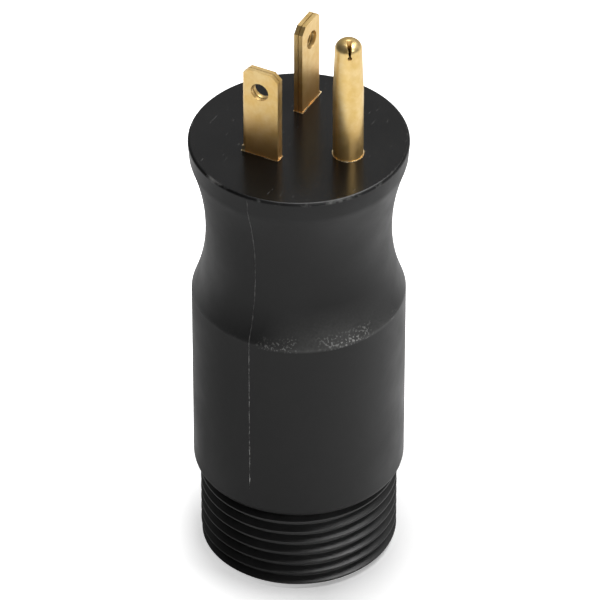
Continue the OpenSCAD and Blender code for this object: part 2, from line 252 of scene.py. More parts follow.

# zones in metres from the axis: the painted shadow, which fades outwards, and the gap under the rim,
# where painted light lifts it
shadow, rim_gap = (0.0158, 0.042), (0.0150, 0.0164)
# painted shadow: for the camera the glow is weakest at the thread and grows outwards
near = math_node(web, "MAXIMUM", band(web, distance, *shadow, 0.06, 0.90),
                 band(web, distance, *rim_gap, 0.22, 0.06))
# painted light: more glow on the left, so the painted shadow is lighter there
left = band(web, rightward, -0.020, 0.004, 0.56, 0.0)
glow = math_node(web, "ADD", near, left)
glow = math_node(web, "MULTIPLY", glow, ray["Is Camera Ray"])
print("paper: white to the camera, with a contact shadow")

# %% Paper floor: what the plug mirrors
# zones in metres from the axis, and to the right of it
foot, around, beyond = (0.021, 0.033), (0.075, 0.105), (0.085, 0.115)
beside, far_left = (-0.06, -0.03), (-0.28, -0.18)

# painted reflection, seen only by mirrored rays: brighter close by on the right, and further off
# except on the right and far left
close = math_node(web, "MULTIPLY", band(web, rightward, -0.04, 0.07, 0.0, 0.26),
                  band(web, distance, *around, 1.0, 0.35), band(web, distance, *foot, 0.2, 1.0))
far = math_node(web, "MULTIPLY", band(web, distance, *beyond, 0.0, 0.36),
                band(web, rightward, 0.02, 0.07, 1.0, 0.3), band(web, rightward, *far_left, 0.25, 1.0))
sheen = math_node(web, "MAXIMUM", close, far)
sheen = math_node(web, "MULTIPLY", sheen, ray["Is Glossy Ray"])
web.links.new(math_node(web, "MAXIMUM", glow, sheen), sheet.inputs["Emission Strength"])

# painted shade, seen only by mirrored rays: dimmer on the left beside the barrel, beside the waist and
# far off, and at the plug's foot
by_barrel = math_node(web, "MULTIPLY", band(web, rightward, *beside, 0.36, 0.0),
                      band(web, distance, 0.065, 0.095, 1.0, 0.0))
by_waist = math_node(web, "MULTIPLY", band(web, rightward, *beside, 0.5, 0.0),
                     band(web, distance, 0.092, 0.104, 1.0, 0.0), band(web, backward, -0.045, -0.02))
dim = math_node(web, "MAXIMUM", by_barrel, by_waist, band(web, rightward, *far_left, 0.65, 0.0),
                band(web, distance, *foot, 0.42, 0.0))
dim = math_node(web, "MULTIPLY", dim, ray["Is Glossy Ray"])
web.links.new(math_node(web, "SUBTRACT", tone, dim), sheet.inputs["Base Color"])
print("paper: brighter to mirrors on the right, dimmer at the foot and on the left")

# %% [markdown]
# ## Bench tools
# Small parts are easier to model in millimetres, where the default merging
# distances of Blender's tools are right. So every piece is made at its true
# place in millimetres and handed over at the end: scaled to metres, shaded,
# given its finish and tied to the frame. A turned piece starts as a plane
# that is merged to one point, which is extruded along its outline and then
# spun, just as one would draw half a section and turn it.

# %% Bench tools: outlines and turning
MM = 0.001


def drop_all():
    """Leaves edit mode and selects nothing."""
    if bpy.context.object and bpy.context.object.mode != "OBJECT":
        bpy.ops.object.mode_set(mode="OBJECT")
    bpy.ops.object.select_all(action="DESELECT")


def take(piece):
    """Makes a piece the active one, and the only one selected."""
    drop_all()
    piece.select_set(True)
    bpy.context.view_layer.objects.active = piece
    return piece


def outline(name, points):
    """A chain of edges in the XZ plane through (radius, height) points."""
    drop_all()
    bpy.ops.mesh.primitive_plane_add(size=1, location=(0, 0, 0))
    piece = bpy.context.object
    piece.name = name
    bpy.ops.object.mode_set(mode="EDIT")
    bpy.ops.mesh.select_mode(type="VERT")
    bpy.ops.mesh.select_all(action="SELECT")
    bpy.ops.mesh.merge(type="CENTER")
    bpy.ops.transform.translate(value=(points[0][0], 0, points[0][1]))
    for (r0, z0), (r1, z1) in zip(points, points[1:]):
        bpy.ops.mesh.extrude_region_move(
            TRANSFORM_OT_translate={"value": (r1 - r0, 0, z1 - z0)})
    return piece


def turned(name, points, steps):
    """The outline spun about the Z axis into a closed skin."""
    piece = outline(name, points)
    bpy.ops.mesh.select_all(action="SELECT")
    bpy.ops.mesh.spin(steps=steps, angle=math.tau, center=(0, 0, 0), axis=(0, 0, 1))
    bpy.ops.mesh.select_all(action="SELECT")
    bpy.ops.mesh.remove_doubles(threshold=0.0005)
    bpy.ops.mesh.normals_make_consistent(inside=False)
    bpy.ops.object.mode_set(mode="OBJECT")
    return piece


def arc(centre, radius, start, end, count):
    """Points on a circle from one angle to another, in degrees."""
    turns = [math.radians(start + (end - start) * i / count) for i in range(count + 1)]
    return [(centre[0] + radius * math.cos(t), centre[1] + radius * math.sin(t)) for t in turns]


print("bench tools for outlines and turning")

# %% Bench tools: blocks, cuts and handing over
def settle():
    """Applies the active object's place, turn and scale to its mesh."""
    bpy.ops.object.transform_apply(location=True, rotation=True, scale=True)
    return bpy.context.object


def block(name, low, high):
    """A cube primitive that fills the space between two corners."""
    drop_all()
    middle = [(a + b) / 2 for a, b in zip(low, high)]
    bpy.ops.mesh.primitive_cube_add(size=1, location=middle,
                                    scale=[b - a for a, b in zip(low, high)])
    bpy.context.object.name = name
    return settle()


def cylinder(name, radius, depth, middle, turn=(0, 0, 0), sides=64):
    """A cylinder primitive about a middle point, upright unless it is turned."""
    drop_all()
    bpy.ops.mesh.primitive_cylinder_add(vertices=sides, radius=radius, depth=depth,
                                        location=middle, rotation=turn)
    bpy.context.object.name = name
    return settle()


def rod(name, radius, low, high, at=(0, 0), sides=64):
    """An upright cylinder between two heights."""
    return cylinder(name, radius, high - low, (*at, (low + high) / 2), sides=sides)


def combine(piece, tool, how="DIFFERENCE"):
    """Cuts, joins or keeps the overlap with a second shape, which is used up."""
    take(piece)
    change = piece.modifiers.new("combine", "BOOLEAN")
    change.operation = how
    change.solver = "EXACT"
    change.object = tool
    bpy.ops.object.modifier_apply(modifier=change.name)
    bpy.data.objects.remove(tool, do_unlink=True)
    return piece


def soften(piece, width, angle=40):
    """Rounds every edge that is sharper than the angle."""
    take(piece)
    change = piece.modifiers.new("soften", "BEVEL")
    change.width = width
    change.segments = 2
    change.limit_method = "ANGLE"
    change.angle_limit = math.radians(angle)
    bpy.ops.object.modifier_apply(modifier=change.name)
    return piece


def hand_over(piece, coat, nodes=(), smooth=30):
    """Scales a finished piece to metres and ties it to the frame."""
    take(piece)
    piece.scale = (MM, MM, MM)
    settle()
    bpy.ops.object.shade_smooth_by_angle(angle=math.radians(smooth))
    flatten = piece.modifiers.new("flatten", "WEIGHTED_NORMAL")
    flatten.keep_sharp = True
    bpy.ops.object.modifier_apply(modifier=flatten.name)
    piece.data.materials.clear()
    piece.data.materials.append(coat)
    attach(piece, "root")
    if nodes:
        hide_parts(*nodes)
    faces = sum(len(p.vertices) - 2 for p in piece.data.polygons)
    size = [round(d / MM, 2) for d in piece.dimensions]
    print(piece.name, "size", size, "mm,", faces, "triangles")
    return piece


print("bench tools for blocks, cuts and handing over")

# %% [markdown]
# ## Black moulded finish
# The grip is a rubbery black moulding: almost no colour of its own, a fine
# satin grain from the mould, faint clouding, and a smoother face where the
# prongs come out, with hair scratches and a nicked edge. The upper edge of the
# barrel is rubbed on one side, and shows as pale flecks. Above them, on the
# same side, a faint painted sheen stands for the lamp in front on the right,
# mirrored in the slope of the waist. A picture could carry all this, but noise
# in the object's own coordinates needs no unwrapping and shows no seam.

# %% Black moulded finish: clouds and grain
shoulder_z, face_z, face_r = 49.7, 78.9, 17.5
grip_black, web, skin = finish("grip_black")
spot = here(web)
height = height_of(web, spot)
clouds = noise(web, spot, 160.0, 4.0)
grain = noise(web, spot, 5200.0, 2.0)
flecks = noise(web, spot, 2600.0, 2.0)
patches = noise(web, spot, 140.0, 2.0)
print("grip finish: clouds, grain, flecks and patches")

# %% Black moulded finish: the rubbed edge and a painted sheen
rub_h, sheen_h = 2.6, 7.0
# the rubbed flecks and the painted sheen lie on the same side
rub_and_sheen_turn = math.radians(229)
toward_rub_and_sheen = along(web, spot, (math.cos(rub_and_sheen_turn), math.sin(rub_and_sheen_turn), 0))
above = band(web, height, shoulder_z * MM, (shoulder_z + rub_h) * MM, 1.0, 0.0)
below = band(web, height, (shoulder_z - 0.6) * MM, (shoulder_z - 0.1) * MM)
worn_side = band(web, toward_rub_and_sheen, 0.0118, 0.0148, 0.02, 1.0)
rub_and_sheen = math_node(web, "MULTIPLY", above, below, band(web, patches, 0.42, 0.60),
                band(web, flecks, 0.54, 0.62), worn_side)
# painted sheen: a paler haze above the rubbed edge stands for the lamp in front on the right, mirrored
# in the waist's slope
painted_sheen = math_node(web, "MULTIPLY", below,
                 band(web, height, shoulder_z * MM, (shoulder_z + sheen_h) * MM, 0.26, 0.0),
                 band(web, toward_rub_and_sheen, 0.0120, 0.0165), math_node(web, "ADD", clouds, flecks), 0.6)
# the rubbed flecks and the painted sheen together
rub_and_sheen = math_node(web, "MAXIMUM", rub_and_sheen, painted_sheen)
print("grip finish: barrel edge rubbed towards", round(math.degrees(rub_and_sheen_turn)), "degrees")

# %% Black moulded finish: scratches and nicks
on_face = band(web, height, (face_z - 0.12) * MM, (face_z - 0.03) * MM)
combed = place(web, "ShaderNodeMapping", {"Vector": spot, "Rotation": (0, 0, 0.6),
               "Scale": (0.22, 1, 1)}).outputs["Vector"]
hairs = math_node(web, "MULTIPLY", band(web, noise(web, combed, 2400.0, 2.0), 0.68, 0.76),
                  band(web, patches, 0.45, 0.55), on_face)
flat_spot = place(web, "ShaderNodeVectorMath", {0: spot, 1: (1, 1, 0)},
                  operation="MULTIPLY").outputs["Vector"]
edge = math_node(web, "MULTIPLY",
                 band(web, reach_of(web, flat_spot), (face_r - 0.5) * MM, (face_r - 0.2) * MM),
                 band(web, height, (face_z - 0.6) * MM, (face_z - 0.3) * MM))
nicks = math_node(web, "MULTIPLY", edge, band(web, noise(web, spot, 230.0, 5.0, 0.65), 0.52, 0.66))
# rub flecks, painted sheen, hair scratches and nicks
marks_and_sheen = math_node(web, "MAXIMUM", rub_and_sheen, math_node(web, "MULTIPLY", hairs, 0.18),
                  math_node(web, "MULTIPLY", nicks, 0.45))
print("grip finish: scratched face with a nicked edge")

# %% Black moulded finish: colour
plain = blend_colour(web, band(web, clouds, 0.35, 0.70), (0.0050, 0.0050, 0.0052),
                     (0.0085, 0.0085, 0.0085))
# paler where rubbed, scratched or nicked, and where the sheen is painted
rubbed_and_sheen = blend_colour(web, marks_and_sheen, plain, (0.34, 0.34, 0.33))
web.links.new(rubbed_and_sheen, skin.inputs["Base Color"])
print("grip finish: clouded black, pale where it is marked")

# %% Black moulded finish: gloss
satin = band(web, clouds, 0.3, 0.7, 0.36, 0.48)
calm = band(web, grain, 0.3, 0.7, 0.17, 0.24)
smooth_face = math_node(web, "SUBTRACT", on_face, math_node(web, "MULTIPLY", edge, 0.7))
gloss = place(web, "ShaderNodeMix", {"Factor": smooth_face, "A": satin, "B": calm},
              data_type="FLOAT").outputs["Result"]
web.links.new(gloss, skin.inputs["Roughness"])
pitted = bump(web, grain, 0.10, 0.00004)
wavy = bump(web, clouds, 0.25, 0.0002, {"Normal": pitted})
web.links.new(wavy, skin.inputs["Normal"])
skin.inputs["IOR"].default_value = 1.37
web.links.new(band(web, smooth_face, 0.0, 1.0, 0.5, 1.0), skin.inputs["Specular IOR Level"])
print("grip finish: satin sides, smoother face")

# %% [markdown]
# ## Grip
# The real grip is moulded in two halves of a tool round the finished inside,
# so it is round, with a crisp rim and shoulder on each side of the finger
# waist. It could be cut from a cylinder, but half a section that is drawn
# once and spun gives the waist its true arcs. The pockets inside follow the
# solids that they hold.

# %% Grip: sizes
blade_w, blade_t, blade_y = 6.35, 1.5, 3.2
line_x, neutral_x, pin_y = -6.35, 9.1, -8.7
pin_r, shank_r = 2.415, 2.215
rim_r, rim_z, waist_z = 17.27, 75.5, 61.7
barrel_r, barrel_low_r = 17.1, 16.98
barrel_round, face_round = 1.7, 0.5
thread_len, sleeve_top = 15.3, 25.0
bridge_z, bridge_top, bridge_cover, waist_wall = 65.7, 75.7, 0.5, 1.4
spigot_r, flange_r, flange_z, flange_t = 14.4, 15.5, 18.3, 2.4
filling_r, gap = 12.2, 0.05
bridge_r = math.hypot(neutral_x + blade_w / 2, blade_y + blade_t / 2) + bridge_cover
waist_r = bridge_r + waist_wall
print("waist radius", round(waist_r, 3), "mm over a bridge of", round(bridge_r, 3), "mm")

# %% Grip: the half section
def waist_side(edge_r, edge_z, count):
    """The arc from an edge in to the waist, where it stands upright."""
    out, up = edge_r - waist_r, edge_z - waist_z
    radius = (out * out + up * up) / (2 * out)
    steps = [up * (1 - i / count) for i in range(count + 1)]
    return [(waist_r + radius - math.sqrt(radius ** 2 - s ** 2), waist_z + s) for s in steps]


face_edge = arc((face_r - face_round, face_z - face_round), face_round, 90, 0, 8)
half = [(0, face_z)] + face_edge + [(rim_r + 0.02, rim_z + 0.3)]
half += waist_side(rim_r, rim_z, 26)[1:]
half += waist_side(barrel_r, shoulder_z, 22)[::-1][1:-1]
half += [(barrel_r - 0.07, shoulder_z + 0.16), (barrel_r - 0.01, shoulder_z - 0.12)]
draft_z = 28.0
half += [(barrel_r - 0.04, 40.0), (barrel_r - 0.08, draft_z)]
half += arc((barrel_low_r - barrel_round, thread_len + barrel_round), barrel_round, 0, -90, 10)
half += [(spigot_r + gap, thread_len), (spigot_r + gap, flange_z - gap),
         (flange_r + gap, flange_z - gap), (flange_r + gap, flange_z + flange_t + gap),
         (spigot_r + gap, flange_z + flange_t + gap), (spigot_r + gap, sleeve_top + gap),
         (filling_r + gap, sleeve_top + gap), (filling_r + gap, bridge_z - gap),
         (bridge_r + gap, bridge_z - gap), (bridge_r + gap, bridge_top + gap),
         (0, bridge_top + gap)]
grip = turned("moulded_grip", half, 192)
print("grip section of", len(half), "points")

# %% Grip: openings for the prongs
line_middle, line_half = (line_x, blade_y), (blade_t / 2, blade_w / 2)
neutral_middle, neutral_half = (neutral_x, blade_y), (blade_w / 2, blade_t / 2)
cut_low, cut_high = bridge_top - 1, face_z + 1


def blade_box(name, middle, half_size, grow, low, high):
    """A block round a blade, larger than it by a margin on each side."""
    return block(name, (*(m - h - grow for m, h in zip(middle, half_size)), low),
                 (*(m + h + grow for m, h in zip(middle, half_size)), high))


combine(grip, blade_box("line_opening", line_middle, line_half, gap, cut_low, cut_high))
combine(grip, blade_box("neutral_opening", neutral_middle, neutral_half, gap, cut_low, cut_high))
combine(grip, rod("pin_opening", shank_r + gap, cut_low, cut_high, (0, pin_y)))
hand_over(grip, grip_black, ("outer_body",), smooth=13)

# %% [markdown]
# ## Parting line
# Where the two halves of the mould meet, a thin uneven line of flash runs
# down both sides of the grip. It could be painted in the finish, but a real
# ridge catches the light and stays in the exported mesh. It follows the same
# half section, and a small random shove makes it uneven. Its finish is dotted,
# and paler low on the barrel than up on the waist.

# %% Parting line: its paler finish
def moulding(name, dark, light, low_gloss, high_gloss, size=300.0, cloud=(0.35, 0.65),
             fade=None):
    """A clouded, finely pitted plastic, whose paler colour may fade with height."""
    made, tree, plastic = finish(name)
    spot = here(tree)
    clouds = noise(tree, spot, size, 4.0)
    grain = noise(tree, spot, 5000.0, 2.0)
    amount = band(tree, clouds, *cloud)
    if fade:
        amount = math_node(tree, "MULTIPLY", amount, band(tree, height_of(tree, spot), *fade))
    tree.links.new(blend_colour(tree, amount, dark, light), plastic.inputs["Base Color"])
    tree.links.new(band(tree, grain, 0.3, 0.7, low_gloss, high_gloss),
                   plastic.inputs["Roughness"])
    tree.links.new(bump(tree, grain, 0.10, 0.00004), plastic.inputs["Normal"])
    print(name, "moulding")
    return made


# paler low on the barrel, darker up on the waist
flash_grey = moulding("flash_grey", (0.010, 0.010, 0.010), (0.36, 0.36, 0.35), 0.35, 0.5, 700.0,
                      cloud=(0.44, 0.64), fade=(0.046, 0.053, 1.0, 0.3))

# %% Parting line: the ridge
flash_w, flash_h, sunk = 0.11, 0.07, 0.06
flash_low, flash_step, shove = 19.8, 0.30, 0.08
side_line = [p for p in half[len(face_edge):] if p[1] >= draft_z and p[0] > waist_r - 0.01]
side_line += [(barrel_low_r + 0.01, flash_low)]
track = []
for (r0, z0), (r1, z1) in zip(side_line, side_line[1:]):
    pieces = max(1, int((z0 - z1) / flash_step))
    track += [(r0 + (r1 - r0) * i / pieces, z0 + (z1 - z0) * i / pieces)
              for i in range(pieces)]
ridge = outline("parting_flash", [(r - sunk, z) for r, z in track])
bpy.ops.mesh.select_all(action="SELECT")
bpy.ops.transform.translate(value=(0, -flash_w, 0))
bpy.ops.mesh.extrude_region_move(
    TRANSFORM_OT_translate={"value": (sunk + flash_h, flash_w, 0)})
bpy.ops.transform.vertex_random(offset=shove, uniform=0.0, normal=0.0, seed=7)
bpy.ops.mesh.extrude_region_move(
    TRANSFORM_OT_translate={"value": (-sunk - flash_h, flash_w, 0)})
bpy.ops.mesh.select_all(action="SELECT")
bpy.ops.mesh.normals_make_consistent(inside=False)
bpy.ops.object.mode_set(mode="OBJECT")
for corner in ridge.data.vertices:
    corner.co.x = min(corner.co.x, face_r - 0.004)
take(ridge)
bpy.ops.object.duplicate()
far_ridge = bpy.context.object
far_ridge.name = "parting_flash_far"
ridge.rotation_euler = (0, 0, math.pi)
for line in (ridge, far_ridge):
    hand_over(line, flash_grey, smooth=60)

# %% [markdown]
# ## Thread finish
# The coupling end is a harder and blacker moulding that reflects more than the
# grip, so its ridges show as bright lines between black grooves. The grip's
# finish could serve here too, but the rubbed edge and the smooth face have no
# place on a thread, so it gets a plainer one.

# %% Thread finish
thread_black, web, skin = finish("thread_black")
spot = here(web)
clouds = noise(web, spot, 260.0, 4.0)
grain = noise(web, spot, 6000.0, 2.0)
web.links.new(blend_colour(web, clouds, (0.0045, 0.0045, 0.0048), (0.009, 0.009, 0.009)),
              skin.inputs["Base Color"])
web.links.new(band(web, clouds, 0.3, 0.7, 0.36, 0.46), skin.inputs["Roughness"])
web.links.new(bump(web, grain, 0.08, 0.00004), skin.inputs["Normal"])
skin.inputs["IOR"].default_value = 1.6
print("thread finish: harder black")

# %% [markdown]
# ## Threaded end
# A right-hand thread with seven ridges takes the collar of a cord. One pitch
# of its outline is drawn, its corners are rounded, and a Screw modifier
# carries it up the axis: stacked rings would be easier, but a thread climbs.
# The raw screw is cut level at both ends, a cone gives it the lead-in, and
# the turned core and the recess are joined to it and taken out of it.

# %% Threaded end: the raw screw
thread_r, pitch, flank = 15.875, 2.117, math.radians(30)
crest_w, root_w = pitch / 8, pitch / 4
root_r = thread_r - (pitch - crest_w - root_w) / 2 / math.tan(flank)
thread_start = math.radians(27.5)
relief_z, lead, ridge_round = 15.0, 0.9, 0.06
lowest = -2.5 * pitch
screw_line = [(root_r, lowest), (root_r, lowest + root_w / 2),
              (thread_r, lowest + (pitch - crest_w) / 2),
              (thread_r, lowest + (pitch + crest_w) / 2),
              (root_r, lowest + pitch - root_w / 2), (root_r, lowest + pitch)]
screw = outline("coupling_sleeve", screw_line)
bpy.ops.object.mode_set(mode="OBJECT")
for corner in screw.data.vertices:
    corner.select = lowest + 0.01 < corner.co.z < lowest + pitch - 0.01
bpy.ops.object.mode_set(mode="EDIT")
bpy.ops.mesh.bevel(offset=ridge_round, segments=3, affect="VERTICES")
bpy.ops.object.mode_set(mode="OBJECT")
climb = screw.modifiers.new("climb", "SCREW")
climb.axis = "Z"
climb.angle = math.tau
climb.screw_offset = pitch
climb.iterations = 10
climb.steps = climb.render_steps = 128
climb.use_merge_vertices = True
climb.merge_threshold = 0.0005
bpy.ops.object.modifier_apply(modifier=climb.name)
print("raw screw of", len(screw.data.vertices), "points")

# %% Threaded end: cut level and given its lead-in
screw.rotation_euler = (0, 0, thread_start)
take(screw)
bpy.ops.object.transform_apply(location=False, rotation=True, scale=False)
bpy.ops.object.mode_set(mode="EDIT")
bpy.ops.mesh.select_all(action="SELECT")
bpy.ops.mesh.remove_doubles(threshold=0.0005)
bpy.ops.mesh.bisect(plane_co=(0, 0, 0), plane_no=(0, 0, 1), use_fill=True,
                    clear_inner=True, threshold=0.00001)
bpy.ops.mesh.select_all(action="SELECT")
bpy.ops.mesh.bisect(plane_co=(0, 0, relief_z), plane_no=(0, 0, 1), use_fill=True,
                    clear_outer=True, threshold=0.00001)
bpy.ops.mesh.select_all(action="SELECT")
bpy.ops.mesh.normals_make_consistent(inside=False)
bpy.ops.object.mode_set(mode="OBJECT")
spare = 0.6
cone = turned("lead_in", [(0, -spare), (thread_r - lead - spare, -spare),
              (thread_r + spare, lead + spare), (thread_r + spare, thread_len),
              (0, thread_len)], 128)
combine(screw, cone, "INTERSECT")
print("screw cut to", round(max(v.co.z for v in screw.data.vertices), 3), "mm")

# %% Threaded end: core, recess, keyway and spline
recess_r, recess_deep, lip_r, lip_top = 12.8, 8.0, 11.8, 10.0
key_half, key_deep, spline_half, spline_h = 1.6, 0.8, 1.2, 0.6
core_r, core_z = root_r - 0.1, 1.2
core = turned("sleeve_core", [(0, core_z), (core_r, core_z), (core_r, thread_len),
              (spigot_r, thread_len), (spigot_r, flange_z), (flange_r - 0.15, flange_z),
              (flange_r, flange_z + 0.15), (flange_r, flange_z + flange_t - 0.15),
              (flange_r - 0.15, flange_z + flange_t), (spigot_r, flange_z + flange_t),
              (spigot_r, sleeve_top), (0, sleeve_top)], 128)
combine(screw, core, "UNION")
hollow = turned("recess", [(0, -1), (recess_r + 0.3, -1), (recess_r + 0.3, 0), (recess_r, 0.3),
                (recess_r, recess_deep), (lip_r + 0.15, recess_deep), (lip_r, recess_deep + 0.15),
                (lip_r, lip_top), (recess_r, lip_top), (recess_r, sleeve_top + 1),
                (0, sleeve_top + 1)], 128)
combine(hollow, block("spline", (-spline_half, recess_r - spline_h, lip_top - 0.01),
                      (spline_half, recess_r + 1, sleeve_top + 2)))
combine(screw, hollow)
combine(screw, block("keyway", (-key_half, -recess_r - key_deep, -1),
                     (key_half, -recess_r + 1, recess_deep)))
hand_over(screw, thread_black, ("threaded_sleeve",), smooth=25)

# %% [markdown]
# ## Brass finish
# The prongs are bright rolled brass: a warm metal with fine lines along the
# strip, small cloudy stains, and a gloss that changes a little from place to
# place. The pin, which was rolled round, is smoother than the blades. A thin
# dull film scatters a little light, so it is not quite all metal. Close to the
# face the prongs turn to a browner and duller tone, a little darker and less
# metallic. That they look dark there is mostly the black face mirrored in the
# brass.

# %% Brass finish
browner_h, metal_part, browner_metal_part = 9.0, 0.9, 0.75


def brass(name, dull, bright, low_gloss, high_gloss, browner=None):
    """A rolled metal, which may turn to a browner colour towards the face."""
    made, tree, metal = finish(name)
    spot = here(tree)
    drawn = place(tree, "ShaderNodeMapping", {"Vector": spot, "Scale": (1, 1, 0.03)})
    lines = noise(tree, drawn.outputs["Vector"], 5200.0, 3.0)
    stains = noise(tree, spot, 420.0, 4.0, 0.6)
    colour = blend_colour(tree, band(tree, stains, 0.35, 0.65), dull, bright)
    metal.inputs["Metallic"].default_value = metal_part
    # close to the face the colour turns browner and a little darker, and the metal less metallic
    if browner:
        face_closeness = band(tree, height_of(tree, spot), face_z * MM, (face_z + browner_h) * MM, 1.0, 0.0)
        colour = blend_colour(tree, face_closeness, colour, browner)
        tree.links.new(band(tree, face_closeness, 0.0, 1.0, metal_part, browner_metal_part),
                       metal.inputs["Metallic"])
    tree.links.new(colour, metal.inputs["Base Color"])
    mixed = math_node(tree, "ADD", math_node(tree, "MULTIPLY", lines, 0.5),
                      math_node(tree, "MULTIPLY", stains, 0.5))
    tree.links.new(band(tree, mixed, 0.35, 0.65, low_gloss, high_gloss),
                   metal.inputs["Roughness"])
    tree.links.new(bump(tree, lines, 0.10, 0.00003), metal.inputs["Normal"])
    print(name, "rolled brass")
    return made


prong_brass = brass("prong_brass", (0.83, 0.55, 0.19), (0.94, 0.70, 0.33), 0.33, 0.44,
                    browner=(0.84, 0.46, 0.15))
pin_brass = brass("pin_brass", (0.83, 0.57, 0.20), (0.94, 0.71, 0.34), 0.29, 0.38,
                  browner=(0.86, 0.54, 0.19))

# %% [markdown]
# ## Blades
# Each flat prong is one strip of brass folded double, so one long edge is a
# round fold and the other shows two leaves. A slab is given its round fold
# with a bevel, its tip corners are cut off with bisect planes, and the gap
# and the holes are cut out. It is made once and copied, and the copy is
# turned a quarter turn. The tail and the crimp below are hidden in the grip.

# %% Blades: one folded blade at the axis
tip_z, tip_w, tip_h = face_z + 16.0, 1.1, 1.2
hole_z, hole_r, lock_z, lock_r = face_z + 12.3, 1.55, 70.7, 1.3
leaf_gap = 0.12
wide = blade_w / 2
blade = block("line_prong", (-wide, -blade_t / 2, bridge_z), (wide, blade_t / 2, tip_z))
for edge in blade.data.edges:
    ends = [blade.data.vertices[v].co for v in edge.vertices]
    edge.select = all(c.x > wide - 0.01 for c in ends) and abs(ends[0].z - ends[1].z) > 1
for face in blade.data.polygons:
    face.select = False
for corner in blade.data.vertices:
    corner.select = False
bpy.ops.object.mode_set(mode="EDIT")
bpy.ops.mesh.select_mode(type="EDGE")
bpy.ops.mesh.bevel(offset=blade_t / 2 * 0.96, segments=8, affect="EDGES")
for side in (-1, 1):
    bpy.ops.mesh.select_all(action="SELECT")
    bpy.ops.mesh.bisect(plane_co=(side * (wide - tip_w), 0, tip_z),
                        plane_no=(side * tip_h, 0, tip_w), use_fill=True, clear_outer=True)
bpy.ops.mesh.select_all(action="SELECT")
bpy.ops.mesh.normals_make_consistent(inside=False)
bpy.ops.object.mode_set(mode="OBJECT")
print("blade blank of", len(blade.data.polygons), "faces")

# %% Blades: leaves and holes
combine(blade, block("leaves", (-wide - 1, -leaf_gap / 2, bridge_z - 1),
                     (wide - blade_t / 2, leaf_gap / 2, tip_z + 1)))
for name, radius, z in (("tip_hole", hole_r, hole_z), ("lock_hole", lock_r, lock_z)):
    combine(blade, cylinder(name, radius, 4 * blade_t, (0, 0, z), (math.pi / 2, 0, 0), 48))
take(blade)
bpy.ops.object.duplicate()
other_blade = bpy.context.object
other_blade.name = "neutral_prong"
print("two blades of", len(blade.data.polygons), "faces each")

# %% Blades: tails, crimps and their places
foot_top, crimp_top, crimp_z = 61.7, 60.2, 53.2
crimp_r, crimp_bore, tail_half = 2.0, 1.2, 2.0
contact_ring, line_turn = 8.7, math.radians(150)
line_at = (contact_ring * math.cos(line_turn), contact_ring * math.sin(line_turn))
neutral_at = (-line_at[0], line_at[1])


def crimp(at):
    """A tube that is open below: its lower face is inset and pushed up."""
    tube = rod("crimp", crimp_r, crimp_z, crimp_top + 0.3, at, 48)
    for face in tube.data.polygons:
        face.select = face.normal.z < -0.9
    bpy.ops.object.mode_set(mode="EDIT")
    bpy.ops.mesh.select_mode(type="FACE")
    bpy.ops.mesh.inset(thickness=crimp_r - crimp_bore)
    bpy.ops.transform.translate(value=(0, 0, crimp_top - 0.15 - crimp_z))
    bpy.ops.object.mode_set(mode="OBJECT")
    return tube


def set_blade(piece, at, turn, tail_low, tail_high, foot_low, foot_high, end):
    """Turns a blade, moves it to its place and joins its tail, foot and crimp."""
    take(piece)
    piece.rotation_euler = (0, 0, turn)
    piece.location = (at[0], at[1], 0)
    settle()
    tail = block("tail", (*tail_low, crimp_top + 0.4), (*tail_high, bridge_z + 0.4))
    combine(piece, tail, "UNION")
    foot_block = block("foot", (*foot_low, crimp_top), (*foot_high, foot_top))
    combine(piece, foot_block, "UNION")
    combine(piece, crimp(end), "UNION")
    return soften(piece, 0.09)


set_blade(blade, line_middle, math.pi / 2,
          (line_x - blade_t / 2, line_at[1] - tail_half),
          (line_x + blade_t / 2, line_at[1] + tail_half),
          (line_at[0] - crimp_r, line_at[1] - crimp_r),
          (line_x + blade_t / 2, line_at[1] + crimp_r), line_at)
set_blade(other_blade, neutral_middle, 0,
          (neutral_at[0] - tail_half, blade_y - blade_t / 2),
          (neutral_at[0] + tail_half, blade_y + blade_t / 2),
          (neutral_at[0] - crimp_r, neutral_at[1] - crimp_r - 0.1),
          (neutral_at[0] + crimp_r, neutral_at[1] + crimp_r), neutral_at)
hand_over(blade, prong_brass, ("line_blade",))
hand_over(other_blade, prong_brass, ("neutral_blade",))

# %% [markdown]
# ## Earth pin
# The round prong is rolled from sheet, so it is hollow, and its rounded end
# shows the seam where the sheet meets: a slit that opens upwards and ends in
# a small round eye. The half section is turned. A thin block, pulled wider at
# its top, cuts the slit, and a rod cuts the eye.

# %% Earth pin: turned
pin_top, tip_r, straight_z, nose = 100.5, 2.125, 91.4, 1.4
nose_z = pin_top - nose
hollow_r, tip_hollow_r, collar = 1.515, 1.225, 0.7
half_pin = [(0, pin_top)] + arc((tip_r - nose, nose_z), nose, 90, 0, 12)
half_pin += [(pin_r, straight_z), (pin_r, face_z + 0.06), (pin_r - 0.06, face_z),
             (shank_r, face_z), (shank_r, lock_z + 1), (pin_r + collar, lock_z + 1),
             (pin_r + collar, lock_z - 1), (shank_r, lock_z - 1), (shank_r, crimp_z),
             (crimp_bore, crimp_z), (crimp_bore, crimp_top - 0.5), (hollow_r, crimp_top - 0.5),
             (hollow_r, straight_z), (tip_hollow_r, nose_z), (0, nose_z)]
pin = turned("earth_prong", half_pin, 96)
print("pin section of", len(half_pin), "points")

# %% Earth pin: its seam
slit_z, slit_w, slit_top_w, eye_r = pin_top - 1.9, 0.22, 0.75, 0.35
slit_turn, slit_reach = math.radians(213), pin_r + 1


def pick(piece, test):
    """Opens a piece for editing with only the corners selected that pass a test."""
    take(piece)
    for part in (piece.data.vertices, piece.data.edges, piece.data.polygons):
        for item in part:
            item.select = False
    for corner in piece.data.vertices:
        corner.select = test(corner.co)
    bpy.ops.object.mode_set(mode="EDIT")
    bpy.ops.mesh.select_mode(type="VERT")


